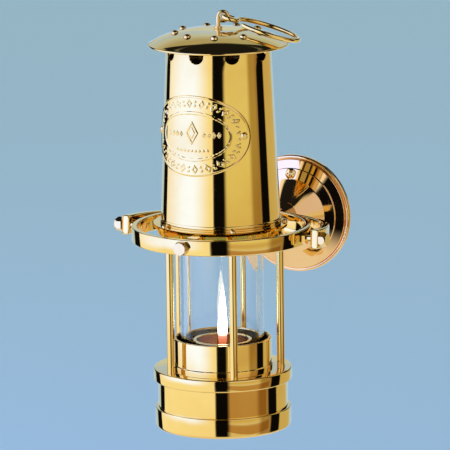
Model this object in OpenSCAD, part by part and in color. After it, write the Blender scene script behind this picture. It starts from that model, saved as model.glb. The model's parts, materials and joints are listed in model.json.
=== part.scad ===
// Miner's safety lamp hung in a two-axis gimbal on a wall bracket.
// Origin: centre of the wall rose's flat back, on the wall. +Y runs into the wall, +Z is up.
// The lamp itself is drawn about its own axis with its base at z = 0, then put in place by at_lamp().

/* [Wall bracket] */
// Diameter of the wall rose
rose_d = 78.4; // [74:0.2:84]
// Distance from the wall to the lamp's axis
lamp_reach = 118; // [114:1:126]
// Height of the gimbal's pivots above the rose's centre
pivot_rise = 9; // [4:1:12]
// Thickness of the yoke's flat bar
yoke_bar_t = 5.4; // [4:0.2:6]
// Height of the yoke's flat bar
yoke_bar_h = 12.6; // [11:0.2:14]
// Inside radius of the yoke
yoke_r_in = 64; // [63.5:0.1:66]

/* [Gimbal ring] */
// Outside radius of the ring
ring_r = 57.3; // [56.5:0.1:58]
// Radial thickness of the ring
ring_t = 3.6; // [3:0.1:3.8]
// Height of the ring
ring_h = 10; // [8:0.5:11]
// Diameter of the pivot bolts' shanks
pivot_d = 4; // [3.6:0.1:4.4]
// Height of the pivots above the lamp's base
pivot_z = 126.5; // [126:0.1:127]

/* [Lamp] */
// Radius of the rim at the foot
rim_r = 43.75; // [42.5:0.25:46]
// Radius of the oil vessel
vessel_r = 41.75; // [40:0.25:42.5]
// Radius of the cage's base ring
cage_r = 44.6; // [43:0.2:47]
// Radius of the circle on which the pillars stand
pillar_pcr = 37.7; // [37.2:0.1:38]
// Diameter of a pillar
pillar_d = 5; // [4:0.25:5.4]
// Outside radius of the glass
glass_r = 27; // [26:0.25:28]
// Thickness of the glass
glass_t = 3; // [2:0.25:3.5]
// Outside radius of the bonnet at its foot
bonnet_r1 = 38.3; // [37.8:0.1:38.5]
// Outside radius of the bonnet at its top
bonnet_r2 = 33.2; // [32.8:0.1:34]
// Radius of the lid
lid_r = 45; // [43:0.5:47]
// Height of the badge plate
badge_h = 51.6; // [44:0.2:54]
// Half of the angle that the badge plate wraps round the bonnet
badge_half_angle = 61.5; // [50:0.5:64]

/* [Carrying hook] */
// Diameter of the hook's wire
hook_wire_d = 3; // [2.6:0.1:3.2]
// Radius of the hook's open ring, to the middle of the wire
hook_r = 20.5; // [18:0.5:22]
// Direction in which the hook lies, about the lamp's axis from +X
hook_turn = 25; // [0:1:60]
// Angle by which the hook lies below level
hook_drop = 18; // [12:1:18]

/* [Hidden] */
$fn = 96;

brass = "gold";
dark_brass = "goldenrod";
steel = "silver";
fit = 0.05;
play = 0.3;
pivot_r = pivot_d / 2;

// Bracket: the yoke and the neck slope down from the pivots to the rose's centre.
rose_r = rose_d / 2;
bracket_tilt = atan(pivot_rise / lamp_reach);
bracket_l = sqrt(pivot_rise * pivot_rise + lamp_reach * lamp_reach);
yoke_r_out = yoke_r_in + yoke_bar_t;
yoke_end = 3.6;
neck_r = 6;
nose_h = 22;
nose_r = 10.4;
wall_screw_pcr = 28;
wall_screw_seat = 8.7;
wall_screw_r = 2;
wall_screw_in_wall = 25;
neck_bolt_r = 2.5;
bolt_recess = 6.4;

// Bolts of the gimbal
head_af = 8.2;
head_h = 4.8;
nut_af = 7.2;
nut_h = 3;
ring_r_in = ring_r - ring_t;
lug_tip = ring_r_in - 1.3;
lug_w = 7.2;

// Heights above the lamp's base
rim_top = 13;
vessel_top = 30;
seal_t = 0.2;
cage_bottom = 30.5;
cage_top = 38.5;
collar_top = 58;
collar_floor = 40.3;
glass_bottom = 41.4;
glass_top = 126;
hub_bottom = 127;
hub_top = 131.3;
lug_top = 130;
plate_top = 133.5;
bonnet_bottom = 136.8;
bonnet_top = 252.6;
lid_edge = 248.4;
lid_apex = 258;
lid_power = 3;
lid_t = 1.2;
cup_top = 56;
wick_top = 53;

// Radii inside the lamp
plate_r = 43.2;
hub_r = 40.6;
plate_bore_r = 20;
plate_screw_pcr = 41;
collar_r = 31.6;
cage_bore_r = 20.5;
neck_tube_r = 20.2;
cup_r = 19.1;
wick_r = 3.2;
wick_tube_r = 4.6;
sheet = 1.2;
rod_x = 11;
rod_r = 1.9;
plug_x = -21;
plug_r = 6;

pillar_count = 5;
pillar_step = 360 / pillar_count;
vent_count = 9;
vent_d = 10;
vent_z = 244.7;
rivet_count = 9;
rivet_pcr = 27.7;
rivet_head_r = 2.5;
rivet_head_h = 2;
head_gap = 0.08;
badge_z = 194.3;
badge_turn = -3.5;
badge_t = 0.9;
badge_screw_angle = 54;

// Hook: the small loop passes through the stud's eye, the open ring carries on from it.
hook_wire_r = hook_wire_d / 2;
hook_loop_r = 4.6;
hook_gap_angle = 38;
hook_tail = 2.6;
braze = 0.15;
eye_wire_r = 1.1;
eye_r = 3.1;
eye_land = 0.15;
eye_x = 3.2;
eye_z = 265.8;
stud_r = 1.4;

// Height of the lid's outer face at radius r
function lid_z(r) = lid_apex - (lid_apex - lid_edge) * pow(r / lid_r, lid_power);
// Outside radius of the bonnet at height z
function bonnet_r(z) = bonnet_r1 + (bonnet_r2 - bonnet_r1) * (z - bonnet_bottom) / (bonnet_top - bonnet_bottom);
// Angle of pillar i, where zero faces away from the wall
function pillar_angle(i) = 180 + pillar_step * i;

// Puts the lamp's own frame in its place in front of the wall
module at_lamp() {
    translate([0, -lamp_reach, pivot_rise - pivot_z]) children();
}

// Frame of the yoke: origin between its pivots, +Y along the neck to the rose
module at_yoke() {
    translate([0, -lamp_reach, pivot_rise]) rotate([-bracket_tilt, 0, 0]) children();
}

// Cylinder along +Y that starts at y = 0
module y_cyl(r, l) {
    rotate([-90, 0, 0]) cylinder(r = r, h = l);
}

// Cylinder along +X that starts at x = 0
module x_cyl(r, l) {
    rotate([0, 90, 0]) cylinder(r = r, h = l);
}

// Turns its children so that what points along -Y faces angle a about the lamp's axis
module facing(a) {
    rotate([0, 0, a]) children();
}

// Tube between two heights
module tube(r_out, r_in, z0, z1) {
    translate([0, 0, z0]) difference() {
        cylinder(r = r_out, h = z1 - z0);
        translate([0, 0, -1]) cylinder(r = r_in, h = z1 - z0 + 2);
    }
}

// Hexagonal prism along +Z, size across its flats
module hex(af, h) {
    cylinder(d = af / cos(30), h = h, $fn = 6);
}

// Half of a ball on top of z = 0, flattened to height h
module round_head(r, h) {
    ball_r = (r * r + h * h) / (2 * h);
    intersection() {
        translate([0, 0, h - ball_r]) sphere(r = ball_r);
        cylinder(r = r, h = h);
    }
}

// Hexagon-headed pivot bolt: the shank runs from z = 0, the head sits at z = shank_l
module pivot_bolt(shank_l) {
    cylinder(r = pivot_r, h = shank_l + 0.5);
    translate([0, 0, shank_l]) intersection() {
        hex(head_af, head_h);
        translate([0, 0, -1]) cylinder(r1 = head_af / 2 + 2.4, r2 = head_af / 2 - 0.2, h = head_h + 1);
    }
}

module wall_rose() {
    color(brass) difference() {
        rotate([90, 0, 0]) rotate_extrude() polygon(concat(
            [[0, 0], [rose_r, 0], [rose_r, 1.6], [rose_r - 0.5, 2.6], [rose_r - 1.4, 3], [rose_r - 2.4, 2.6]],
            [for (a = [0:10:90]) [rose_r - 7.2 + 4.8 * cos(a), 2.7 + 3.9 * sin(a)]],
            [for (a = [0:10:90]) [rose_r - 13.6 + 6.2 * cos(a), 6.5 + 3.3 * sin(a)]],
            [[nose_r, nose_h], [0, nose_h]]));
        for (a = [0:120:240]) rotate([0, a, 0]) translate([0, 0, wall_screw_pcr]) {
            translate([0, 1, 0]) rotate([90, 0, 0]) cylinder(r = wall_screw_r + 0.2, h = 30);
            translate([0, -wall_screw_seat, 0]) rotate([90, 0, 0]) cylinder(r = 3.8, h = 12);
        }
        at_yoke() translate([0, bracket_l - 40, 0]) y_cyl(neck_bolt_r + 0.2, 60);
        translate([0, 1, 0]) rotate([90, 0, 0]) cylinder(r = 6.5, h = bolt_recess + 1);
    }
}

module wall_screws() {
    color(brass) for (a = [0:120:240]) rotate([0, a, 0]) translate([0, 0, wall_screw_pcr]) {
        translate([0, -wall_screw_seat, 0]) rotate([90, 0, 0]) difference() {
            round_head(3.5, 2);
            translate([-2.1, -0.45, 0.8]) cube([4.2, 0.9, 3]);
            translate([-0.45, -2.1, 0.8]) cube([0.9, 4.2, 3]);
        }
        translate([0, 1, 0]) rotate([90, 0, 0]) cylinder(r = wall_screw_r - 0.4, h = wall_screw_seat + 1.1);
        y_cyl(wall_screw_r, wall_screw_in_wall);
    }
}

module neck() {
    color(brass) difference() {
        at_yoke() union() {
            translate([0, yoke_r_out - 3, 0]) y_cyl(neck_r, bracket_l - nose_h - yoke_r_out + 5);
            translate([0, bracket_l - nose_h - 7, 0]) rotate([-90, 0, 0])
                cylinder(r1 = neck_r, r2 = nose_r + 0.8, h = 8.4);
        }
        translate([-20, -nose_h, -20]) cube([40, 30, 40]);
        at_yoke() cylinder(r = yoke_r_out, h = 40, center = true);
        at_yoke() translate([0, yoke_r_in, 0]) y_cyl(neck_bolt_r + 0.1, 60);
    }
}

module neck_bolt() {
    color(steel) at_yoke() {
        translate([0, yoke_r_out - 3.5, 0]) y_cyl(neck_bolt_r, bracket_l - yoke_r_out - 2);
        translate([0, bracket_l - 5.7, 0]) rotate([-90, 0, 0]) hex(8, 3.5);
    }
}

module yoke() {
    color(brass) at_yoke() difference() {
        union() {
            rotate_extrude(angle = 180) translate([yoke_r_in, -yoke_bar_h / 2]) square([yoke_bar_t, yoke_bar_h]);
            for (s = [-1, 1]) translate([s * (yoke_r_in + yoke_bar_t / 2), 0.5, 0]) rotate([90, 0, 0])
                translate([-yoke_bar_t / 2, -yoke_bar_h / 2, 0]) cube([yoke_bar_t, yoke_bar_h, yoke_end + 0.5]);
        }
        translate([-yoke_r_out - 2, 0, 0]) x_cyl(pivot_r + fit, 12);
        translate([yoke_r_in - 4, 0, 0]) x_cyl(pivot_r + fit, 12);
        translate([0, yoke_r_out - 3.6, 0]) y_cyl(neck_bolt_r + 0.02, 8);
    }
}

module gimbal_ring() {
    color(brass) at_lamp() translate([0, 0, pivot_z]) difference() {
        rotate_extrude() polygon([
            [ring_r_in + 0.4, -ring_h / 2], [ring_r - 0.4, -ring_h / 2], [ring_r, -ring_h / 2 + 0.4],
            [ring_r, ring_h / 2 - 0.4], [ring_r - 0.4, ring_h / 2], [ring_r_in + 0.4, ring_h / 2],
            [ring_r_in, ring_h / 2 - 0.4], [ring_r_in, -ring_h / 2 + 0.4]]);
        translate([-ring_r - 2, 0, 0]) x_cyl(pivot_r + 0.02, 10);
        translate([ring_r_in - 4, 0, 0]) x_cyl(pivot_r + 0.02, 10);
        translate([0, -ring_r - 2, 0]) y_cyl(pivot_r + fit, 10);
        translate([0, ring_r_in - 4, 0]) y_cyl(pivot_r + fit, 10);
    }
}

// Bolt that carries the ring in the yoke, on the side given by s
module outer_pivot(s) {
    color(brass) at_lamp() translate([s * (ring_r_in + 0.2), 0, pivot_z]) rotate([0, s * 90, 0])
        pivot_bolt(yoke_r_out + play - ring_r_in - 0.2);
}

// Nut that locks the outer bolt against the ring
module lock_nut(s) {
    color(dark_brass) at_lamp() translate([s * ring_r, 0, pivot_z]) rotate([0, s * 90, 0]) difference() {
        hex(nut_af, nut_h);
        translate([0, 0, -1]) cylinder(r = pivot_r + 0.02, h = nut_h + 2);
    }
}

// Bolt that carries the lamp in the ring, facing angle a
module inner_pivot(a) {
    color(brass) at_lamp() facing(a) translate([0, -lug_tip + 6, pivot_z]) rotate([90, 0, 0])
        pivot_bolt(ring_r + play - lug_tip + 6);
}

module cage_top_plate() {
    color(brass) at_lamp() difference() {
        union() {
            translate([0, 0, hub_bottom]) cylinder(r = hub_r, h = hub_top - hub_bottom + 0.1);
            translate([0, 0, hub_top]) cylinder(r = plate_r, h = plate_top - hub_top);
            for (a = [0, 180]) facing(a) {
                translate([-lug_w / 2, -lug_tip, lug_top - 1.8]) cube([lug_w, lug_tip - 36, 1.8]);
                translate([-lug_w / 2, -lug_tip, pivot_z - 4.2]) cube([lug_w, lug_tip - 43, lug_top - pivot_z + 4.2]);
            }
        }
        translate([0, 0, hub_bottom - 8]) cylinder(r = plate_bore_r, h = 20);
        for (a = [0, 180]) facing(a) translate([0, -lug_tip - 1, pivot_z]) y_cyl(pivot_r + 0.02, lug_tip - 41);
        for (i = [0:pillar_count - 1]) facing(pillar_angle(i)) translate([0, -plate_screw_pcr, hub_top - 2])
            cylinder(r = 1.02, h = 6);
    }
}

module plate_screws() {
    color(brass) at_lamp() for (i = [0:pillar_count - 1]) facing(pillar_angle(i))
        translate([0, -plate_screw_pcr, plate_top]) {
            round_head(1.8, 1.8);
            translate([0, 0, -3.5]) cylinder(r = 1, h = 3.6);
        }
}

module pillar(i) {
    color(brass) at_lamp() facing(pillar_angle(i)) translate([0, -pillar_pcr, cage_top])
        cylinder(d = pillar_d, h = hub_bottom - cage_top);
}

module cage_base_ring() {
    color(brass) at_lamp() translate([0, 0, cage_bottom]) rotate_extrude() polygon([
        [cage_bore_r, 0], [cage_r - 0.6, 0], [cage_r, 0.6], [cage_r, cage_top - cage_bottom - 0.6],
        [cage_r - 0.6, cage_top - cage_bottom], [cage_bore_r, cage_top - cage_bottom]]);
}

module glass_collar() {
    color(brass) at_lamp() translate([0, 0, cage_top]) rotate_extrude() polygon([
        [cage_bore_r, 0], [collar_r + 0.7, 0], [collar_r + 0.7, 2], [collar_r, 2.5],
        [collar_r, collar_top - cage_top - 0.5], [collar_r - 0.5, collar_top - cage_top],
        [collar_r - 1.4, collar_top - cage_top], [collar_r - 1.8, collar_top - cage_top - 0.6],
        [collar_r - 1.8, collar_floor - cage_top], [cage_bore_r, collar_floor - cage_top]]);
}

module glass() {
    color("lightcyan", 0.4) at_lamp() tube(glass_r, glass_r - glass_t, glass_bottom, glass_top);
}

module glass_washer_lower() {
    color("dimgray") at_lamp() tube(glass_r, glass_r - glass_t - 1, collar_floor, glass_bottom);
}

module glass_washer_upper() {
    color("dimgray") at_lamp() tube(glass_r, glass_r - glass_t - 1, glass_top, hub_bottom);
}

module gauze_ring() {
    color(brass) at_lamp() tube(27, 22, plate_top, plate_top + 3);
}

// Gauze thimble: a tapered sleeve with a closed top
module thimble(r1, r2, h) {
    translate([0, 0, plate_top]) rotate_extrude() polygon([
        [r1 - 0.5, 0], [r1, 0], [r2, h - 1], [r2 - 1, h], [0, h], [0, h - 0.5], [r2 - 1.2, h - 0.5], [r2 - 0.5, h - 1.2]]);
}

module inner_gauze() {
    color(steel) at_lamp() thimble(18.5, 16, 84);
}

module outer_gauze() {
    color(steel) at_lamp() thimble(21.8, 19.2, 96);
}

module bonnet_base() {
    color(brass) at_lamp() translate([0, 0, plate_top]) rotate_extrude() polygon([
        [30, 0], [38.9, 0], [38.9, 2.6], [38.5, bonnet_bottom - plate_top], [30, bonnet_bottom - plate_top]]);
}

module bonnet() {
    color(brass) at_lamp() difference() {
        translate([0, 0, bonnet_bottom]) rotate_extrude() polygon([
            [bonnet_r1 - sheet, 0], [bonnet_r1, 0], [bonnet_r2, bonnet_top - bonnet_bottom],
            [bonnet_r2 - sheet, bonnet_top - bonnet_bottom]]);
        for (i = [0:vent_count - 1]) facing(i * 360 / vent_count) translate([0, -bonnet_r2 - 3, vent_z])
            y_cyl(vent_d / 2, 8);
        for (s = [-1, 1]) facing(badge_turn + s * badge_screw_angle) translate([0, -bonnet_r1, badge_z])
            y_cyl(1.02, 6);
    }
}

module bonnet_top_flange() {
    flange_r = bonnet_r2 - sheet - fit;
    color(dark_brass) at_lamp() difference() {
        rotate_extrude() polygon([
            [25, lid_z(25) - lid_t - 1.6], [flange_r, vent_z + vent_d / 2 + 0.2],
            [flange_r, lid_z(flange_r) - lid_t - 0.1], [25, lid_z(25) - lid_t - 0.1]]);
        for (i = [0:rivet_count - 1]) facing(20 + i * 360 / rivet_count) translate([0, -rivet_pcr, lid_edge - 5])
            cylinder(r = 1.02, h = lid_apex - lid_edge + 8);
    }
}

module lid() {
    steps = [for (i = [0:15]) lid_r * i / 15];
    inner = lid_r - 0.8;
    color(brass) at_lamp() difference() {
        rotate_extrude() polygon(concat(
            [for (r = steps) [r, lid_z(r)]],
            [[lid_r, lid_edge - 0.9], [inner, lid_edge - 1.2]],
            [for (i = [15:-1:0]) [inner * i / 15, lid_z(inner * i / 15) - lid_t]]));
        translate([0, 0, lid_apex - 5]) cylinder(r = stud_r + fit, h = 10);
        for (i = [0:rivet_count - 1]) facing(20 + i * 360 / rivet_count) translate([0, -rivet_pcr, lid_edge - 5])
            cylinder(r = 1.02, h = lid_apex - lid_edge + 8);
    }
}

module lid_rivets() {
    top = lid_z(rivet_pcr);
    lean = atan(lid_power * (lid_apex - lid_edge) / lid_r * pow(rivet_pcr / lid_r, lid_power - 1));
    color(brass) at_lamp() for (i = [0:rivet_count - 1]) facing(20 + i * 360 / rivet_count)
        translate([0, -rivet_pcr, 0]) {
            translate([0, 0, lid_edge + 2.5]) cylinder(r = 1, h = top - lid_edge - 2);
            translate([0, 0, top]) rotate([lean, 0, 0]) translate([0, 0, head_gap])
                round_head(rivet_head_r, rivet_head_h);
        }
}

// Outline of the badge plate, seen from the front: an oval wrapped round a cylinder
module badge_outline() {
    reach = bonnet_r(badge_z) + badge_t;
    side = [for (t = [-90:6:90]) [badge_half_angle * sin(t), badge_h / 2 * cos(t)]];
    polygon(concat(
        [for (p = side) [reach * sin(p[0]), p[1]]],
        [for (p = side) [-reach * sin(p[0]), -p[1]]]));
}

module badge() {
    color(brass) at_lamp() facing(badge_turn) difference() {
        intersection() {
            translate([0, 0, bonnet_bottom])
                cylinder(r1 = bonnet_r1 + badge_t + 0.02, r2 = bonnet_r2 + badge_t + 0.02, h = bonnet_top - bonnet_bottom);
            translate([0, 0, badge_z]) rotate([90, 0, 0]) linear_extrude(60) badge_outline();
        }
        translate([0, 0, bonnet_bottom - 1])
            cylinder(r1 = bonnet_r1 + 0.064, r2 = bonnet_r2 + 0.02, h = bonnet_top - bonnet_bottom + 1);
        for (s = [-1, 1]) facing(s * badge_screw_angle) translate([0, -50, badge_z]) y_cyl(1.02, 40);
    }
}

module badge_screws() {
    r = bonnet_r(badge_z) + badge_t;
    lean = atan((bonnet_r1 - bonnet_r2) / (bonnet_top - bonnet_bottom));
    color(brass) at_lamp() for (s = [-1, 1]) facing(badge_turn + s * badge_screw_angle)
        translate([0, -r, badge_z]) rotate([90 - lean, 0, 0]) translate([0, 0, head_gap]) {
            difference() {
                round_head(2.4, 1.5);
                translate([-3, -0.35, 0.7]) cube([6, 0.7, 3]);
            }
            translate([0, 0, -3]) cylinder(r = 0.9, h = 3.1);
        }
}

module oil_vessel() {
    wall = 1.6;
    color(brass) at_lamp() difference() {
        union() {
            translate([0, 0, rim_top]) cylinder(r = vessel_r, h = vessel_top - rim_top);
            tube(neck_tube_r, neck_tube_r - 2, vessel_top - 1, cage_top - 1);
        }
        difference() {
            translate([0, 0, rim_top + wall]) cylinder(r = vessel_r - wall, h = vessel_top - rim_top - 2 * wall);
            translate([rod_x, 0, rim_top]) cylinder(r = rod_r + 1.6, h = 20);
        }
        translate([0, 0, vessel_top - 5]) cylinder(r = wick_tube_r + 0.02, h = 10);
        translate([rod_x, 0, rim_top - 1]) cylinder(r = rod_r + fit, h = 30);
        translate([plug_x, 0, rim_top - 1]) cylinder(r = plug_r + 0.05, h = 5);
    }
}

module base_rim() {
    color(brass) at_lamp() difference() {
        rotate_extrude() polygon(concat(
            [[36, 0]],
            [for (a = [-90:15:0]) [rim_r - 2 + 2 * cos(a), 2 + 2 * sin(a)]],
            [[rim_r, rim_top - 0.6], [rim_r - 0.6, rim_top], [0, rim_top], [0, rim_top - 2.5], [36, rim_top - 2.5]]));
        translate([rod_x, 0, 0]) cylinder(r = rod_r + fit, h = 20);
        translate([plug_x, 0, 0]) cylinder(r = plug_r + 0.05, h = 20);
    }
}

module vessel_seal() {
    color("saddlebrown") at_lamp() tube(vessel_r - 2, neck_tube_r + 0.1, vessel_top, vessel_top + seal_t);
}

module filler_plug() {
    color(dark_brass) at_lamp() translate([plug_x, 0, 0]) difference() {
        union() {
            translate([0, 0, rim_top - 5.5]) cylinder(r = plug_r + 2, h = 3);
            translate([0, 0, rim_top - 3]) cylinder(r = plug_r, h = 5.5);
        }
        translate([-10, -0.8, rim_top - 6]) cube([20, 1.6, 1.8]);
    }
}

module burner_cup() {
    floor_z = cage_top + 2;
    color("chocolate") at_lamp() difference() {
        translate([0, 0, cage_top - 1]) rotate_extrude() polygon([
            [0, 0], [14, 0], [14, 3], [cup_r, 3], [cup_r, cup_top - cage_top + 0.6], [cup_r - 0.5, cup_top - cage_top + 1],
            [cup_r - 1, cup_top - cage_top + 0.6], [cup_r - 1, 4], [0, 4]]);
        translate([0, 0, floor_z - 10]) cylinder(r = wick_tube_r + 0.02, h = 20);
        translate([rod_x, 0, floor_z - 10]) cylinder(r = rod_r + fit, h = 20);
    }
}

module wick_tube() {
    color(brass) at_lamp() tube(wick_tube_r, wick_r + play, rim_top + 6, 50);
}

module wick() {
    color("white") at_lamp() translate([0, 0, rim_top + 7]) cylinder(r = wick_r, h = wick_top - rim_top - 7);
}

module wick_adjuster_rod() {
    color(steel) at_lamp() translate([rod_x, 0, 8]) cylinder(r = rod_r, h = 38);
}

module wick_adjuster_knob() {
    color(brass) at_lamp() translate([rod_x, 0, 2]) difference() {
        cylinder(r = 6, h = 6);
        for (i = [0:11]) rotate([0, 0, i * 30]) translate([6.4, 0, -1]) cylinder(r = 0.8, h = 8);
    }
}

// Frame of the hook and its stud: +X is the way the hook lies
module at_hook() {
    at_lamp() rotate([0, 0, hook_turn]) children();
}

module hook_stud() {
    color(brass) at_hook() {
        translate([0, 0, lid_apex - 6]) cylinder(r = stud_r, h = eye_z - lid_apex + 6);
        translate([0, 0, lid_apex + play]) cylinder(r = 2.6, h = 1.2);
        translate([eye_x, 0, eye_z]) rotate([90, 0, 0]) difference() {
            rotate_extrude() translate([eye_r, 0]) circle(r = eye_wire_r);
            cylinder(r = eye_r - eye_wire_r + eye_land, h = 3, center = true);
        }
    }
}

module swivel_nut() {
    color(dark_brass) at_hook() translate([0, 0, lid_apex - lid_t - play - 3]) difference() {
        hex(7.2, 3);
        translate([0, 0, -1]) cylinder(r = stud_r + 0.02, h = 6);
    }
}

// Stretch of wire bent to radius r about the origin, from angle a0 over sweep degrees
module bent_wire(r, a0, sweep) {
    rotate([0, 0, a0]) rotate_extrude(angle = sweep) translate([r, 0]) circle(r = hook_wire_r, $fn = 32);
}

module carrying_hook() {
    end_angle = 180 + hook_gap_angle;
    color(brass) at_hook() translate([eye_x, 0, eye_z]) rotate([0, hook_drop, 0]) {
        translate([hook_loop_r, 0, 0]) {
            bent_wire(hook_loop_r, 90, 270);
            translate([0, hook_loop_r, 0]) x_cyl(hook_wire_r, hook_tail);
        }
        translate([2 * hook_loop_r, 0, 0]) sphere(r = hook_wire_r + braze, $fn = 32);
        translate([2 * hook_loop_r + hook_r, 0, 0]) {
            bent_wire(hook_r, end_angle, 360 - hook_gap_angle);
            rotate([0, 0, end_angle]) translate([hook_r, 0, 0]) sphere(r = hook_wire_r, $fn = 32);
        }
    }
}

wall_rose();
wall_screws();
neck();
neck_bolt();
yoke();
gimbal_ring();
outer_pivot(-1);  // outer_pivot_left
outer_pivot(1);  // outer_pivot_right
lock_nut(-1);  // lock_nut_left
lock_nut(1);  // lock_nut_right
inner_pivot(0);  // inner_pivot_front
inner_pivot(180);  // inner_pivot_back
cage_top_plate();
plate_screws();
pillar(0);  // pillar_1
pillar(1);  // pillar_2
pillar(2);  // pillar_3
pillar(3);  // pillar_4
pillar(4);  // pillar_5
cage_base_ring();
glass_collar();
glass();
glass_washer_lower();
glass_washer_upper();
gauze_ring();
inner_gauze();
outer_gauze();
bonnet_base();
bonnet();
bonnet_top_flange();
lid();
lid_rivets();
badge();
badge_screws();
oil_vessel();
base_rim();
vessel_seal();
filler_plug();
burner_cup();
wick_tube();
wick_adjuster_rod();
wick_adjuster_knob();
wick();
hook_stud();
swivel_nut();
carrying_hook();
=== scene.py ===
"""Looks of the miner's safety lamp in its wall gimbal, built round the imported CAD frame.

Lengths are in metres in the CAD frame: the origin is on the wall, +Y runs into the wall, +Z is up.
Bearings are degrees about the lamp's axis: 0 faces away from the wall (-Y), and +90 faces +X.
"""

import json
import math

import bpy
from mathutils import Matrix, Vector


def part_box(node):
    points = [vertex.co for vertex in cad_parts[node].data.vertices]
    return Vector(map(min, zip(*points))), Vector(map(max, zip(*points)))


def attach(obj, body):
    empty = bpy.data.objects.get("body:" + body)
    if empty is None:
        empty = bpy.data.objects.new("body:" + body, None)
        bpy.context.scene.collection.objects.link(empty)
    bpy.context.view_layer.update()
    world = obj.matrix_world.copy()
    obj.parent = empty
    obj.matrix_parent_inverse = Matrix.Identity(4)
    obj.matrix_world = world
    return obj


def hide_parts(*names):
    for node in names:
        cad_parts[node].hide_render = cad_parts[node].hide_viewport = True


MM = 0.001
TAU = 2 * math.pi

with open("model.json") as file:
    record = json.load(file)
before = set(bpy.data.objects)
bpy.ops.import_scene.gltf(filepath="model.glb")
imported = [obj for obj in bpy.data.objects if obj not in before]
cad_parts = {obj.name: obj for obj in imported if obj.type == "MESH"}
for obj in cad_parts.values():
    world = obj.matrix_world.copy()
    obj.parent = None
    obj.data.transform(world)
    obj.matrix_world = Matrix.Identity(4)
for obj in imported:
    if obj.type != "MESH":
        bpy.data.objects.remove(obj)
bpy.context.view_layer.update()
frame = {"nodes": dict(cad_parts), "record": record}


# ---------------------------------------------------------------- places taken from the frame
def middle(node):
    """Centre of a CAD node's box."""
    low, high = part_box(node)
    return (low + high) / 2


def span(node, axis):
    """Lowest and highest value of a CAD node along an axis: 0 is X, 1 is Y, 2 is Z."""
    low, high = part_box(node)
    return low[axis], high[axis]


def radius(node):
    """Half of a CAD node's width along X, which is its radius where it is round."""
    low, high = span(node, 0)
    return (high - low) / 2


AXIS = middle("lid")
AXIS_XY = Vector((AXIS.x, AXIS.y, 0))


# ---------------------------------------------------------------- camera
CAMERA_BEARING = 25.14
CAMERA_ELEVATION = 11.11
CAMERA_DISTANCE = 3.0
CAMERA_LENS = 374.8
CAMERA_ROLL = -0.783
CAMERA_TARGET = AXIS_XY + Vector((0.0024, 0.0011, 0.0132))


def towards(bearing, elevation):
    """Unit vector at a bearing and an elevation, both in degrees."""
    b, e = math.radians(bearing), math.radians(elevation)
    return Vector((math.sin(b) * math.cos(e), -math.cos(b) * math.cos(e), math.sin(e)))


def add_camera():
    """Camera at the photograph's angle."""
    camera = bpy.data.objects.new("camera", bpy.data.cameras.new("camera"))
    bpy.context.scene.collection.objects.link(camera)
    back = towards(CAMERA_BEARING, CAMERA_ELEVATION)
    camera.location = CAMERA_TARGET + CAMERA_DISTANCE * back
    turn = (-back).to_track_quat("-Z", "Y").to_matrix().to_4x4()
    roll = Matrix.Rotation(math.radians(CAMERA_ROLL), 4, "Z")
    camera.rotation_mode = "QUATERNION"
    camera.rotation_quaternion = (turn @ roll).to_quaternion()
    camera.data.lens = CAMERA_LENS
    camera.data.clip_end = 100
    bpy.context.scene.camera = camera


# ---------------------------------------------------------------- shader nodes
def add(tree, kind, inputs=None, **settings):
    """Adds a node. An input's value is a number, a colour or the socket that feeds it."""
    node = tree.nodes.new(kind)
    for key, value in settings.items():
        setattr(node, key, value)
    for key, value in (inputs or {}).items():
        if isinstance(value, bpy.types.NodeSocket):
            tree.links.new(value, node.inputs[key])
        else:
            node.inputs[key].default_value = value
    return node


def ramp(tree, factor, stops):
    """Colour ramp over (position, colour) pairs."""
    node = add(tree, "ShaderNodeValToRGB", {"Fac": factor})
    elements = node.color_ramp.elements
    while len(elements) < len(stops):
        elements.new(1.0)
    for element, (position, colour) in zip(elements, stops):
        element.position = position
        element.color = (*colour, 1)
    return node.outputs["Color"]


def math_node(tree, operation, a, b=0.0):
    return add(tree, "ShaderNodeMath", {0: a, 1: b}, operation=operation).outputs[0]


def spread(tree, value, low, high, to_low=0.0, to_high=1.0):
    """Smoothly maps value from low..high to to_low..to_high."""
    keys = {"Value": value, "From Min": low, "From Max": high, "To Min": to_low, "To Max": to_high}
    return add(tree, "ShaderNodeMapRange", keys, interpolation_type="SMOOTHSTEP").outputs["Result"]


def mix(tree, factor, a, b):
    """Mix of two colours."""
    node = add(tree, "ShaderNodeMix", {"Factor": factor}, data_type="RGBA")
    for index, value in ((6, a), (7, b)):
        if isinstance(value, bpy.types.NodeSocket):
            tree.links.new(value, node.inputs[index])
        else:
            node.inputs[index].default_value = (*value, 1)
    return node.outputs[2]


# ---------------------------------------------------------------- studio
# What polished brass mirrors: soft panels with dark gaps between them. The bands are by bearing,
# the ceiling starts between two elevations, and the patch behind the lamp has a bearing, an
# elevation and a half-width in degrees, and a colour for each sine of the elevation.
BLACK = (0.003, 0.003, 0.004)
BACKDROP = (0.42, 0.56, 0.72)
PANEL = (0.83, 0.80, 0.72)
WARM = (0.60, 0.56, 0.40)
WARM_DEEP = (0.30, 0.20, 0.10)
WARM_BACK = (0.50, 0.42, 0.21)
STUDIO_BANDS = [
    (-180, BACKDROP), (-124, BACKDROP), (-122, BLACK), (-104, BLACK), (-102, PANEL),
    (10, PANEL), (12, BLACK), (31, BLACK), (39, WARM), (84, WARM), (93, WARM_DEEP),
    (112, WARM_DEEP), (113, BLACK), (134, BLACK), (136, WARM_BACK), (170, WARM_BACK), (177, BACKDROP),
    (180, BACKDROP),
]
CEILING = (0.010, 0.010, 0.012)
CEILING_FROM = (47, 51)
BACK_PATCH = (205, 27.7, 23.4)
BACK_HEIGHTS = [
    (0.195, (0.49, 0.55, 0.50)), (0.225, (0.38, 0.52, 0.74)), (0.435, (0.45, 0.54, 0.62)),
    (0.62, (0.36, 0.36, 0.29)),
]
GROUND = (0.70, 0.66, 0.60)
FLOOR_COLOUR = (0.50, 0.62, 0.72)
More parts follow.
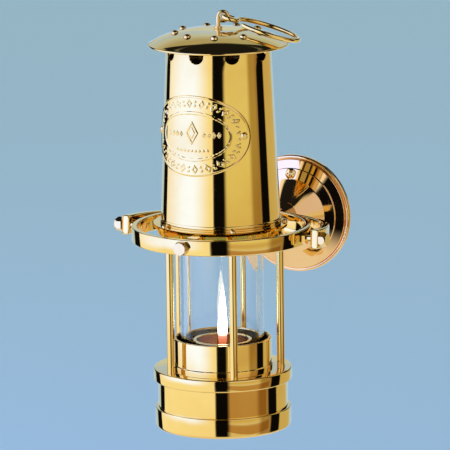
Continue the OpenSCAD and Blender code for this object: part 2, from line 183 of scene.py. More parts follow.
FLOOR_GLOW = (0.12, 0.25, 0.335)
FLOOR_DROP = 0.18
FLOOR_SIZE = 60.0
WORLD_STRENGTH = 1.25
# Upright glowing cards round the lamp. The fill's colours are by share of its height.
CARD_DISTANCE = 1.3
CARD_HEIGHT = 0.35
CARD_TALL = 1.9
KEY_BEARING = -24
KEY_WIDTH = 1.36
KEY_EDGE = (0.305, 0.300, 0.262)
KEY_PEAK = (0.315, 0.418, 1.0)
KEY_STRENGTH = 3.4
KEY_RISE = (0.105, 0.205)
SIDE_BEARING = -76.5
SIDE_WIDTH = 1.24
FILL_BEARING = 69
FILL_WIDTH = 2.03
FILL_HEIGHTS = [
    (0.10, (0.50, 0.31, 0.13)), (0.122, (0.53, 0.37, 0.17)), (0.143, (0.74, 0.70, 0.60)),
    (0.170, (0.71, 0.60, 0.30)), (0.200, (0.64, 0.50, 0.26)), (0.225, (0.66, 0.52, 0.26)),
    (0.275, (0.81, 0.75, 0.40)), (0.345, (0.79, 0.73, 0.46)), (0.380, (0.78, 0.72, 0.72)),
]
FILL_DEEP = (0.55, 0.44, 0.28)


def add_world():
    """Studio surroundings: panels by bearing, dark overhead but for a patch behind the lamp, pale ground."""
    world = bpy.data.worlds.new("studio")
    bpy.context.scene.world = world
    world.use_nodes = True
    tree = world.node_tree
    tree.nodes.clear()
    place = add(tree, "ShaderNodeTexCoord").outputs["Generated"]
    parts = add(tree, "ShaderNodeSeparateXYZ", {"Vector": place}).outputs
    front = math_node(tree, "MULTIPLY", parts["Y"], -1.0)
    bearing = math_node(tree, "ARCTAN2", parts["X"], front)
    turn = math_node(tree, "MULTIPLY_ADD", bearing, 1 / TAU)
    turn.node.inputs[2].default_value = 0.5
    bands = ramp(tree, turn, [(0.5 + degrees / 360, colour) for degrees, colour in STUDIO_BANDS])
    low, high = (math.sin(math.radians(degrees)) for degrees in CEILING_FROM)
    overhead = spread(tree, parts["Z"], low, high)

    def along(bearing, elevation):
        keys = {0: place, 1: towards(bearing, elevation)}
        return add(tree, "ShaderNodeVectorMath", keys, operation="DOT_PRODUCT").outputs["Value"]

    edge = math.cos(math.radians(BACK_PATCH[2]))
    off_patch = spread(tree, along(BACK_PATCH[0], BACK_PATCH[1]), edge + 0.006, edge - 0.006)
    behind = spread(tree, along(BACK_PATCH[0], 0), 0.5, 0.62)
    raised = math_node(tree, "MULTIPLY", behind, spread(tree, parts["Z"], 0.05, 0.12))
    patch = ramp(tree, parts["Z"], BACK_HEIGHTS)
    shut = math_node(tree, "MULTIPLY", off_patch, raised)
    colour = mix(tree, raised, bands, patch)
    colour = mix(tree, math_node(tree, "MAXIMUM", overhead, shut), colour, CEILING)
    under = spread(tree, parts["Z"], math.sin(math.radians(-22)), math.sin(math.radians(-50)))
    colour = mix(tree, under, colour, GROUND)
    shade = add(tree, "ShaderNodeBackground", {"Color": colour, "Strength": WORLD_STRENGTH})
    output = add(tree, "ShaderNodeOutputWorld")
    tree.links.new(shade.outputs[0], output.inputs["Surface"])


def key_glow(tree, parts):
    """White, fading to the panel's own colour at its right side and below."""
    rise = spread(tree, parts["Z"], *KEY_RISE)
    right = spread(tree, parts["X"], 1.12, 0.34)
    return mix(tree, math_node(tree, "MULTIPLY", rise, right), KEY_EDGE, KEY_PEAK), KEY_STRENGTH


def side_glow(tree, parts):
    """Carries the key's white on to the left, where it fades to the panel's own colour."""
    rise = spread(tree, parts["Z"], *KEY_RISE)
    left = spread(tree, parts["X"], -0.38, 1.0)
    return mix(tree, math_node(tree, "MULTIPLY", rise, left), KEY_EDGE, KEY_PEAK), KEY_STRENGTH


def fill_glow(tree, parts):
    """Warm panel: coppery low down, dark at its left side and deep brown at its right."""
    colour = ramp(tree, parts["Z"], FILL_HEIGHTS)
    deep = add(tree, "ShaderNodeMix", {"Factor": 1.0}, data_type="RGBA", blend_type="MULTIPLY")
    tree.links.new(colour, deep.inputs[6])
    deep.inputs[7].default_value = (*FILL_DEEP, 1)
    colour = mix(tree, spread(tree, parts["X"], 0.66, 0.80), colour, deep.outputs[2])
    return colour, spread(tree, parts["X"], 0.0, 0.13)


def add_card(name, bearing, width, glow):
    """Soft box: an upright glowing card round the lamp, coloured by glow."""
    mesh = bpy.data.meshes.new(name)
    w, h = width / 2, CARD_TALL / 2
    mesh.from_pydata([(-w, 0, -h), (w, 0, -h), (w, 0, h), (-w, 0, h)], [], [(0, 1, 2, 3)])
    card = bpy.data.objects.new(name, mesh)
    bpy.context.scene.collection.objects.link(card)
    card.location = AXIS_XY + CARD_DISTANCE * towards(bearing, 0) + Vector((0, 0, CARD_HEIGHT))
    card.rotation_euler = (0, 0, math.radians(bearing))
    material = bpy.data.materials.new(name)
    material.use_nodes = True
    tree = material.node_tree
    tree.nodes.clear()
    place = add(tree, "ShaderNodeTexCoord").outputs["Generated"]
    parts = add(tree, "ShaderNodeSeparateXYZ", {"Vector": place}).outputs
    colour, strength = glow(tree, parts)
    light = add(tree, "ShaderNodeEmission", {"Color": colour, "Strength": strength})
    output = add(tree, "ShaderNodeOutputMaterial")
    tree.links.new(light.outputs[0], output.inputs["Surface"])
    mesh.materials.append(material)
    card.visible_camera = False
    card.visible_shadow = False


def add_floor():
    """Plain pale floor, well below the hanging lamp."""
    mesh = bpy.data.meshes.new("floor")
    s, z = FLOOR_SIZE / 2, span("base_rim", 2)[0] - FLOOR_DROP
    mesh.from_pydata([(-s, -s, z), (s, -s, z), (s, s, z), (-s, s, z)], [], [(0, 1, 2, 3)])
    floor = bpy.data.objects.new("floor", mesh)
    bpy.context.scene.collection.objects.link(floor)
    material = bpy.data.materials.new("floor")
    material.use_nodes = True
    shader = material.node_tree.nodes["Principled BSDF"]
    shader.inputs["Base Color"].default_value = (*FLOOR_COLOUR, 1)
    shader.inputs["Roughness"].default_value = 0.9
    shader.inputs["Emission Color"].default_value = (*FLOOR_GLOW, 1)
    shader.inputs["Emission Strength"].default_value = 1.0
    mesh.materials.append(material)
    floor.visible_glossy = False


# ---------------------------------------------------------------- materials
def new_material(name, **values):
    """Principled material. A key's underscores stand for spaces, as in base_color."""
    material = bpy.data.materials.new(name)
    material.use_nodes = True
    shader = material.node_tree.nodes["Principled BSDF"]
    for key, value in values.items():
        shader.inputs["IOR" if key == "ior" else key.replace("_", " ").title()].default_value = value
    return material, material.node_tree, shader


def noise_node(tree, scale, detail=3.0, stretch=(1, 1, 1)):
    """Noise over the piece, with its grain drawn out along an axis where stretch is small."""
    place = add(tree, "ShaderNodeTexCoord").outputs["Object"]
    place = add(tree, "ShaderNodeMapping", {"Vector": place, "Scale": stretch}).outputs["Vector"]
    keys = {"Vector": place, "Scale": scale, "Detail": detail, "Roughness": 0.55}
    return add(tree, "ShaderNodeTexNoise", keys).outputs["Fac"]


def metal(name, colour, dull, rough, rough_worn, grain=(1, 1, 1), marks=0.02):
    """Metal with slow drifts of colour and polish, and fine polishing marks along its grain."""
    material, tree, shader = new_material(name, metallic=1.0)
    drift = spread(tree, noise_node(tree, 28), 0.35, 0.72)
    tree.links.new(mix(tree, drift, colour, dull), shader.inputs["Base Color"])
    smear = noise_node(tree, 90, 4, (1, 1, 0.6))
    tree.links.new(spread(tree, smear, 0.42, 0.75, rough, rough_worn), shader.inputs["Roughness"])
    lines = noise_node(tree, 520, 2, grain)
    keys = {"Height": lines, "Strength": marks, "Distance": 0.0001}
    tree.links.new(add(tree, "ShaderNodeBump", keys).outputs["Normal"], shader.inputs["Normal"])
    return material


# The wick is charred above this share of its height
WICK_CHAR = 0.82
FLAME_GLOW = 8.0
# Colours by share of the flame's height
FLAME_COLOURS = [
    (0.0, (0.85, 0.16, 0.05)), (0.12, (0.95, 0.26, 0.11)), (0.18, (1.0, 0.50, 0.36)),
    (0.23, (1.0, 0.95, 0.93)), (0.86, (1.0, 1.0, 1.0)), (1.0, (1.0, 0.86, 0.84)),
]
# Grain that turning leaves on a piece turned about Z, and on the rose, turned about Y
TURNED = (0.08, 0.08, 2.0)
TURNED_ROSE = (0.08, 2.0, 0.08)


def soft_material(name, colour, dark, rough, scale, bump):
    """Dull material such as rubber, leather or cotton: a drifting colour and a fine uneven surface."""
    material, tree, shader = new_material(name, roughness=rough)
    drift = spread(tree, noise_node(tree, scale), 0.32, 0.70)
    tree.links.new(mix(tree, drift, colour, dark), shader.inputs["Base Color"])
    keys = {"Height": noise_node(tree, scale * 9, 4), "Strength": bump, "Distance": 0.0002}
    tree.links.new(add(tree, "ShaderNodeBump", keys).outputs["Normal"], shader.inputs["Normal"])
    return material, tree, shader


def glass_material():
    """Clear glass with faint smears on it."""
    material, tree, shader = new_material(
        "lamp_glass", base_color=(0.98, 0.99, 1.0, 1), ior=1.5, transmission_weight=1.0,
        specular_tint=(1.0, 0.78, 0.42, 1))
    smear = noise_node(tree, 24, 3, (1, 1, 0.4))
    tree.links.new(spread(tree, smear, 0.55, 0.80, 0.0, 0.035), shader.inputs["Roughness"])
    return material


def wick_material():
    """Cotton, scorched black towards its top."""
    material, tree, shader = soft_material(
        "wick_cotton", (0.75, 0.68, 0.55), (0.62, 0.53, 0.40), 0.9, 300, 0.4)
    place = add(tree, "ShaderNodeTexCoord").outputs["Generated"]
    height = add(tree, "ShaderNodeSeparateXYZ", {"Vector": place}).outputs["Z"]
    ragged = math_node(tree, "ADD", height, math_node(tree, "MULTIPLY", noise_node(tree, 900), 0.06))
    burnt = spread(tree, ragged, WICK_CHAR, WICK_CHAR + 0.12)
    cotton = shader.inputs["Base Color"].links[0].from_socket
    tree.links.new(mix(tree, burnt, cotton, (0.015, 0.012, 0.01)), shader.inputs["Base Color"])
    return material


def flame_material():
    """Glow of the flame: white, orange at its foot, thinning towards its foot and tip."""
    material = bpy.data.materials.new("flame")
    material.use_nodes = True
    tree = material.node_tree
    tree.nodes.clear()
    place = add(tree, "ShaderNodeTexCoord").outputs["Generated"]
    height = add(tree, "ShaderNodeSeparateXYZ", {"Vector": place}).outputs["Z"]
    colour = ramp(tree, height, FLAME_COLOURS)
    power = spread(tree, height, 0.16, 0.24, 1.0, FLAME_GLOW)
    glow = add(tree, "ShaderNodeEmission", {"Color": colour, "Strength": power})
    clear = add(tree, "ShaderNodeBsdfTransparent")
    foot = spread(tree, height, 0.0, 0.10, 0.35, 1.0)
    tip = spread(tree, height, 1.0, 0.84, 0.10, 1.0)
    thick = math_node(tree, "MULTIPLY", foot, tip)
    blend = add(tree, "ShaderNodeMixShader", {"Fac": thick, 1: clear.outputs[0], 2: glow.outputs[0]})
    output = add(tree, "ShaderNodeOutputMaterial")
    tree.links.new(blend.outputs[0], output.inputs["Surface"])
    return material


def gauze_material():
    """Woven wire gauze: two sets of wires round and along the thimble, with painted near-black shade in the
    gaps between instead of holes.
    """
    material, tree, shader = new_material("gauze_steel", metallic=1.0)
    place = add(tree, "ShaderNodeTexCoord").outputs["Object"]
    parts = add(tree, "ShaderNodeSeparateXYZ", {"Vector": place}).outputs
    turn = math_node(tree, "ARCTAN2", parts["X"], math_node(tree, "ADD", parts["Y"], -AXIS.y))
    along = math_node(tree, "SINE", math_node(tree, "MULTIPLY", turn, 90.0))
    round_it = math_node(tree, "SINE", math_node(tree, "MULTIPLY", parts["Z"], TAU / (1.1 * MM)))
    weave = math_node(tree, "MAXIMUM", along, round_it)
    shade = spread(tree, weave, 0.1, 0.7)
    wire = mix(tree, spread(tree, noise_node(tree, 60), 0.35, 0.7), (0.20, 0.19, 0.18), (0.10, 0.07, 0.05))
    # Painted shade: the gaps between the wires are coloured near black (0.004) instead of being cut through.
    tree.links.new(mix(tree, shade, (0.004, 0.004, 0.004), wire), shader.inputs["Base Color"])
    tree.links.new(spread(tree, noise_node(tree, 200), 0.3, 0.7, 0.35, 0.6), shader.inputs["Roughness"])
    keys = {"Height": weave, "Strength": 0.6, "Distance": 0.0003}
    tree.links.new(add(tree, "ShaderNodeBump", keys).outputs["Normal"], shader.inputs["Normal"])
    return material


def make_materials():
    """One material for each of the record's material slots, and one for the flame."""
    return {
        "polished_brass": metal("polished_brass", (0.92, 0.69, 0.26), (0.88, 0.62, 0.21), 0.03, 0.07, TURNED),
        "bracket_brass": metal(
            "bracket_brass", (0.93, 0.67, 0.34), (0.90, 0.57, 0.27), 0.035, 0.09, TURNED_ROSE),
        "fastener_brass": metal("fastener_brass", (0.90, 0.68, 0.30), (0.82, 0.56, 0.21), 0.08, 0.18),
        "inner_brass": metal("inner_brass", (0.55, 0.33, 0.12), (0.30, 0.17, 0.08), 0.22, 0.4),
        "burner_copper": metal("burner_copper", (0.78, 0.42, 0.20), (0.52, 0.25, 0.12), 0.16, 0.32, TURNED),
        "steel": metal("steel", (0.58, 0.57, 0.55), (0.42, 0.40, 0.38), 0.2, 0.38),
        "gauze_steel": gauze_material(),
        "lamp_glass": glass_material(),
        "washer": soft_material("washer", (0.035, 0.032, 0.030), (0.018, 0.017, 0.016), 0.7, 160, 0.3)[0],
        "leather_seal": soft_material(
            "leather_seal", (0.12, 0.06, 0.03), (0.06, 0.03, 0.015), 0.75, 220, 0.5)[0],
        "wick_cotton": wick_material(),
        "flame": flame_material(),
    }


def paint_nodes(materials):
    """Gives each CAD node the material of its slot in the record."""
    for part in frame["record"]["subparts"]:
        data = frame["nodes"][part["node"]].data
        data.materials.clear()
        data.materials.append(materials[part["material_slot"]])


# ---------------------------------------------------------------- mesh tools
def finish_mesh(mesh, material, sharp=32):
    mesh.validate()
    mesh.polygons.foreach_set("use_smooth", [True] * len(mesh.polygons))
    mesh.set_sharp_from_angle(angle=math.radians(sharp))
    mesh.materials.clear()
    mesh.materials.append(material)


def new_object(name, points, faces):
    mesh = bpy.data.meshes.new(name)
    mesh.from_pydata([tuple(p) for p in points], [], faces)
    made = bpy.data.objects.new(name, mesh)
    bpy.context.scene.collection.objects.link(made)
    return made


def add_piece(name, shape, body, material, stands_for=None, cutters=()):
    """Makes a mesh piece that rides on a body and takes its finish from a slot.
    It is cut by other shapes first. Each shape is (points, faces)."""
    piece = new_object(name, *shape)
    tools = [new_object("tool", *cutter) for cutter in cutters]
    for tool in tools:
        cut = piece.modifiers.new("cut", "BOOLEAN")
        cut.object, cut.operation, cut.solver = tool, "DIFFERENCE", "EXACT"
    if tools:
        graph = bpy.context.evaluated_depsgraph_get()
        baked = bpy.data.meshes.new_from_object(piece.evaluated_get(graph))
        piece.modifiers.clear()
        piece.data = baked
        for tool in tools:
            bpy.data.objects.remove(tool)
    finish_mesh(piece.data, material)
    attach(piece, body)
    if stands_for:
        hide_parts(stands_for)
    return piece


def lathe(profile, steps=256):
    """Closed ring of faces from (radius, height) points, in order round the section, about Z.
    A point at radius 0 becomes one vertex."""
    points, rows, faces = [], [], []
    for r, z in profile:
        if r < 1e-7:
            rows.append([len(points)] * steps)
            points.append(Vector((0, 0, z)))
            continue
        rows.append(list(range(len(points), len(points) + steps)))
        for i in range(steps):
            a = TAU * i / steps
            points.append(Vector((r * math.cos(a), r * math.sin(a), z)))
    pairs = list(zip(rows, rows[1:]))
    if profile[0][0] > 1e-7 or profile[-1][0] > 1e-7:
        pairs.append((rows[-1], rows[0]))
    for low, high in pairs:
        for i in range(steps):
            j = (i + 1) % steps
            face = [low[i], low[j], high[j], high[i]]
            face = [v for k, v in enumerate(face) if v != face[k - 1]]
            if len(face) > 2:
                faces.append(face)
    return points, faces


def arc(centre, rx, ry, start, end, steps):
    """Points of a section along an elliptic arc, in degrees."""
    angles = [math.radians(start + (end - start) * i / steps) for i in range(steps + 1)]
    return [(centre[0] + rx * math.cos(a), centre[1] + ry * math.sin(a)) for a in angles]


def eased(corners, steps=5):
    """Section from (x, y, rounding) corners, in millimetres, with each corner rounded off."""
    section = []
    for i, (x, y, rounding) in enumerate(corners):
        here = Vector((x, y))
        if rounding <= 0:
            section.append((x * MM, y * MM))
            continue
        back = (Vector(corners[i - 1][:2]) - here).normalized()
        ahead = (Vector(corners[(i + 1) % len(corners)][:2]) - here).normalized()
        half = back.angle(ahead) / 2
        centre = here + (back + ahead).normalized() * (rounding / math.sin(half))
        start = here + back * (rounding / math.tan(half)) - centre
        turn = -start.angle_signed(here + ahead * (rounding / math.tan(half)) - centre)
        for k in range(steps + 1):
            spot = centre + Matrix.Rotation(turn * k / steps, 2) @ start
            section.append((spot.x * MM, spot.y * MM))
    return section


def put(shape, origin, turn=None):
    """Shape turned by a matrix and moved to an origin."""
    points, faces = shape
    return [(turn @ p if turn else p) + origin for p in points], faces


def bar(r, start, direction, length, steps=48):
    """Round bar from a start point along a direction."""
    shape = lathe([(0, 0), (r, 0), (r, length), (0, length)], steps)
    return put(shape, start, direction.to_track_quat("Z", "Y").to_matrix())


def swept(section, stations, caps):
    """Section of (across, up) points carried through (centre, across direction) stations.
    caps rounds the two ends off by that much."""
    points, faces = [], []
    rows = []
    mid = sum((Vector(p) for p in section), Vector((0, 0))) / len(section)
    first = (stations[0][0] - stations[1][0]).normalized()
    last = (stations[-1][0] - stations[-2][0]).normalized()
    ends = 5
    round_off = []
    for k in range(ends):
        a = math.pi / 2 * k / ends
        round_off.append((caps * (1 - math.sin(a)), caps * (1 - math.cos(a))))
    path = [(stations[0][0] - first * back, stations[0][1], inset) for back, inset in round_off]
    path += [(spot, across, 0.0) for spot, across in stations[1:-1]]
    path += [(stations[-1][0] - last * back, stations[-1][1], inset) for back, inset in round_off[::-1]]
    extent = [max(abs(p[i] - mid[i]) for p in section) for i in (0, 1)]
    for spot, across, inset in path:
        rows.append(range(len(points), len(points) + len(section)))
        for p in section:
            x = mid.x + (p[0] - mid.x) * (1 - inset / extent[0])
            y = mid.y + (p[1] - mid.y) * (1 - inset / extent[1])
            points.append(spot + across * x + Vector((0, 0, y)))
    count = len(section)
    for low, high in zip(rows, rows[1:]):
        for i in range(count):
            j = (i + 1) % count
            faces.append([low[i], low[j], high[j], high[i]])
    faces.append(list(rows[0])[::-1])
    faces.append(list(rows[-1]))
    return points, faces


# ---------------------------------------------------------------- pieces
LAMP = Vector((AXIS.x, AXIS.y, span("base_rim", 2)[0]))
PIVOT_Z = middle("gimbal_ring").z
BONNET_FOOT = Vector((radius("bonnet"), 0, span("bonnet", 2)[0]))
BONNET_TAPER = 5.1 / 115.8
LID_SHEET = 1.2 * MM
LID_POWER = 3
LID_DROP = span("lid", 2)[1] - span("lid", 2)[0] - LID_SHEET
STUD_BORE = 1.5 * MM
NOSE = (10.4, 22.0)
ROSE_RIM = 1.4
ROSE_EDGE = 0.7
SCREW_CIRCLE = 28 * MM
SCREW_SEAT = 8.7 * MM
SCREW_SEAT_R = 3.8 * MM
SCREW_HOLE_R = 2.2 * MM
NECK_SCREW_R = 2.7 * MM
NECK_SCREW_HEAD_R = 6.5 * MM
NECK_SCREW_HEAD_DEEP = 6.4 * MM
ROD_BORE = 1.95 * MM
PLUG_BORE = 6.05 * MM
WICK_BORE = 4.65 * MM
YOKE_SCREW_BORE = 2.55 * MM
YOKE_SCREW_REACH = 20 * MM
YOKE_BAR = (5.4, 12.6)
YOKE_END = 3.6 * MM
RING_BAR = (3.6, 10.0)
PIVOT_BORE = 2.06 * MM
TO_ROOM = Matrix.Rotation(math.radians(90), 3, "X")


def lid_height(r):
    """Height of the lid's outer face at a distance from the lamp's axis."""
    return span("lid", 2)[1] - LID_DROP * (r / radius("lid")) ** LID_POWER


def add_lid(materials):
    """Domed lid with a rolled edge."""
    bead = 0.7 * MM
    steps = 70
    reach = radius("lid") - bead
    spots = [STUD_BORE + (reach - STUD_BORE) * i / steps for i in range(steps)]
    top = [(r, lid_height(r)) for r in spots]
    edge = arc((reach, lid_height(reach) - bead), bead, bead, 62, -120, 12)
    inner = [(r, z - LID_SHEET) for r, z in reversed(top[:-2])]
    shape = put(lathe((top + edge + inner)[::-1], 320), AXIS_XY)
    add_piece("lid_dome", shape, "lamp", materials["polished_brass"], "lid")


def add_turned(materials):
    """Turned rings and cylinders of the lamp, with eased edges instead of the CAD's sharp ones."""
    turned = [
        ("foot_rim", "base_rim", "vessel", [
            (0, 10.5, 0), (36, 10.5, 0), (36, 0, 0.6), (43.75, 0, 2), (43.75, 13, 0.8), (0, 13, 0)]),
        ("cage_foot", "cage_base_ring", "lamp", [
            (20.5, 30.5, 0.3), (44.6, 30.5, 1.0), (44.6, 38.5, 1.3), (20.5, 38.5, 0.3)]),
        ("gallery", "glass_collar", "lamp", [
            (20.5, 38.5, 0), (32.3, 38.5, 0), (32.3, 40.6, 0.5), (31.6, 41.2, 0.4), (31.6, 58, 0.7),
            (30.2, 58, 0.35), (29.8, 57.2, 0.3), (29.8, 40.3, 0), (20.5, 40.3, 0)]),
        ("bonnet_step", "bonnet_base", "lamp", [
            (30, 133.5, 0), (38.9, 133.5, 0.2), (38.9, 136.1, 0.5), (38.5, 136.8, 0.2), (30, 136.8, 0)]),
    ]
    rod = middle("wick_adjuster_rod")
    plug = middle("filler_plug")
    low = LAMP.z - MM
    bores = [bar(ROD_BORE, Vector((rod.x, rod.y, low)), Vector((0, 0, 1)), 20 * MM),
             bar(PLUG_BORE, Vector((plug.x, plug.y, low)), Vector((0, 0, 1)), 20 * MM)]
    for name, node, body, corners in turned:
        shape = put(lathe(eased(corners)), LAMP)
        add_piece(name, shape, body, materials["polished_brass"], node,
                  cutters=bores if node == "base_rim" else ())


def add_burner(materials):
    """Copper burner bowl with a rolled brass rim, and a darker, duller brass lining inside the gallery round
    the glass.
    """
    bore = bar(WICK_BORE, LAMP + Vector((0, 0, 30 * MM)), Vector((0, 0, 1)), 40 * MM)
    rod = middle("wick_adjuster_rod")
    rod_bore = bar(ROD_BORE, Vector((rod.x, rod.y, LAMP.z + 30 * MM)), Vector((0, 0, 1)), 20 * MM)
    bowl = eased([
        (0, 37.5, 0), (14, 37.5, 0.3), (14, 40.5, 0), (19.1, 40.5, 0.8), (19.1, 55.2, 0), (16.9, 55.2, 0),
        (16.2, 46, 2.5), (0, 44.5, 0)])
    add_piece("burner_bowl", put(lathe(bowl), LAMP), "vessel", materials["burner_copper"],
              "burner_cup", cutters=[bore, rod_bore])
    rim = eased([(16.7, 55.25, 0.2), (19.1, 55.25, 0.2), (19.1, 56.6, 0.55), (16.7, 56.6, 0.55)])
    add_piece("burner_rim", put(lathe(rim), LAMP), "vessel", materials["polished_brass"])
    liner = eased([(29.45, 40.35, 0), (29.75, 40.35, 0), (29.75, 57.2, 0), (29.45, 57.2, 0)])
    add_piece("gallery_liner", put(lathe(liner), LAMP), "lamp", materials["inner_brass"])


def add_gimbal(materials):
    """Ring and yoke of the gimbal, with rounded edges."""
    brass = materials["polished_brass"]
    r_out = radius("gimbal_ring") / MM
    half = RING_BAR[1] / 2
    corners = [(r_out - RING_BAR[0], -half, 0.8), (r_out, -half, 0.8), (r_out, half, 0.8),
               (r_out - RING_BAR[0], half, 0.8)]
    centre = AXIS_XY + Vector((0, 0, PIVOT_Z))
    through = 2.4 * r_out * MM
    ways = (Vector((1, 0, 0)), Vector((0, 1, 0)))
    bores = [bar(PIVOT_BORE, centre - way * through / 2, way, through) for way in ways]
    add_piece("gimbal_hoop", put(lathe(eased(corners)), centre), "gimbal", brass,
              "gimbal_ring", cutters=bores)
    tilt = math.atan2(PIVOT_Z, -AXIS.y)
    lean = Matrix.Rotation(-tilt, 3, "X")
    r_mid = radius("yoke") - YOKE_BAR[0] * MM / 2
    x, y = YOKE_BAR[0] / 2, YOKE_BAR[1] / 2
    section = eased([(-x, -y, 1.3), (x, -y, 1.3), (x, y, 1.3), (-x, y, 1.3)])
    stations = [(Vector((-r_mid, -YOKE_END, 0)), Vector((-1, 0, 0)))]
    for i in range(161):
        a = math.pi * (1 - i / 160)
        out = Vector((math.cos(a), math.sin(a), 0))
        stations.append((r_mid * out, out))
    stations.append((Vector((r_mid, -YOKE_END, 0)), Vector((1, 0, 0))))
    shape = put(swept(section, stations, 0.9 * MM), centre, lean)
    back = lean @ Vector((0, 1, 0))
    bores = [bar(PIVOT_BORE, centre - Vector((through, 0, 0)), Vector((1, 0, 0)), 2 * through),
             bar(YOKE_SCREW_BORE, centre + (r_mid - YOKE_SCREW_REACH) * back, back, 2 * YOKE_SCREW_REACH)]
    add_piece("yoke_bow", shape, "bracket", brass, "yoke", cutters=bores)


def add_rose(materials):
    """Wall rose: rounded rim, two sloping rings, seats for three screws and a bored nose."""
    r = radius("wall_rose") / MM
    profile = [(0, 0), (r, 0)] + arc((r - ROSE_RIM, 1.6), ROSE_RIM, ROSE_RIM, 0, 140, 10)
    profile += arc((r - 3.2, 3.7), ROSE_EDGE, ROSE_EDGE, 0, 66, 8) + [(r - 7.9, 6.45), (r - 8.0, 6.5)]
    profile += arc((r - 8.7, 7.0), ROSE_EDGE, ROSE_EDGE, 0, 66, 8) + [(r - 14.5, 9.9), (r - 14.6, 9.95)]
    nose = NOSE[0]
    start = profile[-1]
    for i in range(1, 25):
        t = i / 24
        x = start[0] + (nose + 0.6 - start[0]) * t
        y = start[1] + (NOSE[1] - 0.6 - start[1]) * (0.86 * t + 0.14 * t * t)
        profile.append((x, y))
    profile += [(nose, NOSE[1] - 0.15), (nose - 0.3, NOSE[1]), (0, NOSE[1])]
    shape = put(lathe([(x * MM, y * MM) for x, y in profile], 320), Vector((0, 0, 0)), TO_ROOM)
    cutters = []
    for k in range(3):
        a = TAU * k / 3
        spot = SCREW_CIRCLE * Vector((math.sin(a), 0, math.cos(a)))
        cutters.append(bar(SCREW_SEAT_R, spot + Vector((0, -SCREW_SEAT, 0)), Vector((0, -1, 0)), 12 * MM))
        cutters.append(bar(SCREW_HOLE_R, spot + Vector((0, MM, 0)), Vector((0, -1, 0)), 20 * MM))
    tilt = math.atan2(PIVOT_Z, -AXIS.y)
    along = Vector((0, -math.cos(tilt), math.sin(tilt)))
    cutters.append(bar(NECK_SCREW_R, -along * 10 * MM, along, 60 * MM))
    cutters.append(bar(NECK_SCREW_HEAD_R, Vector((0, MM, 0)), Vector((0, -1, 0)), NECK_SCREW_HEAD_DEEP + MM))
    add_piece("rose", shape, "bracket", materials["bracket_brass"], "wall_rose",
              cutters=cutters)


# Badge: an oval plate with a plain border, an inner oval and a generic ornament of lozenges and beads
BADGE_TURN = -3.5
BADGE_HALF = (61.5, 25.8)
BADGE_BORDER = (41.1, 15.9)
BADGE_FIELD = (39.0, 13.9)
BADGE_MIDLINE = (51.0, 20.9)
BADGE_SCREW = 54.0
BADGE_THICK = 0.9
MARKS = 40


def step(value, low, high):
    """0 below low, 1 above high, smooth between."""
    t = min(1.0, max(0.0, (value - low) / (high - low)))
    return t * t * (3 - 2 * t)


def bead(x, y, r, height):
    """Round bead of a radius about the origin."""
    d = 1 - (x * x + y * y) / (r * r)
    return height * math.sqrt(d) if d > 0 else 0.0


def lozenge(x, y, half_x, half_y, wall, height):
    """Lozenge-shaped frame, or a solid lozenge where wall is 1."""
    d = abs(x) / half_x + abs(y) / half_y
    return height * step(1 - d, 0, 0.16) * (1 - step(1 - d, wall, wall + 0.16) if wall < 1 else 1)


def midline_lengths(mm_per_degree):
    """Distances along the ring band's midline at each degree round it."""
    total, lengths, last = 0.0, [0.0], None
    for degree in range(361):
        t = math.radians(degree)
        spot = Vector((BADGE_MIDLINE[0] * mm_per_degree * math.sin(t), BADGE_MIDLINE[1] * math.cos(t)))
        if last is not None:
            total += (spot - last).length
            lengths.append(total)
        last = spot
    return lengths


def badge_relief(x, z, mm_per_degree, lengths):
    """Height of the badge's face over its plain level. x is in degrees round the bonnet, z in millimetres."""
    oval = math.hypot(x / BADGE_HALF[0], z / BADGE_HALF[1])
    border = math.hypot(x / BADGE_BORDER[0], z / BADGE_BORDER[1])
    field = math.hypot(x / BADGE_FIELD[0], z / BADGE_FIELD[1])
    relief = 0.22 * step(oval, 0.945, 0.955) * (1 - step(oval, 0.972, 0.982))
    relief += 0.28 * step(field, 1.0, 1.02) * (1 - step(border, 0.985, 1.0))
    mid = math.hypot(x / BADGE_MIDLINE[0], z / BADGE_MIDLINE[1])
    if border > 1.03 and oval < 0.94 and min(abs(x - BADGE_SCREW), abs(x + BADGE_SCREW)) > 4.5:
        turn = math.degrees(math.atan2(x / BADGE_MIDLINE[0], z / BADGE_MIDLINE[1])) % 360
        low = int(turn)
        run = lengths[low] + (lengths[(low + 1) if low < 360 else 360] - lengths[low]) * (turn - low)
        pitch = lengths[-1] / MARKS
        cell = run / pitch
        along = (cell - math.floor(cell) - 0.5) * pitch
        t = math.radians(turn)
        local = math.hypot(BADGE_MIDLINE[0] * mm_per_degree * math.sin(t), BADGE_MIDLINE[1] * math.cos(t))
        across = (mid - 1) * local
        if int(cell) % 2:
            relief += lozenge(along, across, 2.1, 3.0, 0.42, 0.36)
        else:
            relief += bead(along, across - 1.3, 0.85, 0.42) + bead(along, across + 1.3, 0.85, 0.42)
    if field < 0.97:
        u = x * mm_per_degree
        relief += lozenge(u, z - 2.2, 4.6, 8.0, 0.2, 0.36) + lozenge(u, z - 2.2, 2.2, 4.0, 1, 0.3)
        for k in (-1, 1):
            for i in range(4):
                relief += lozenge(u - k * (8.2 + 3.3 * i), z - 1.0, 1.3, 2.0, 0.5, 0.32)
        for i in range(-4, 5):
            relief += bead(u - 2.6 * i, z + 9.2 - 0.035 * i * i, 0.85, 0.34)
    return relief


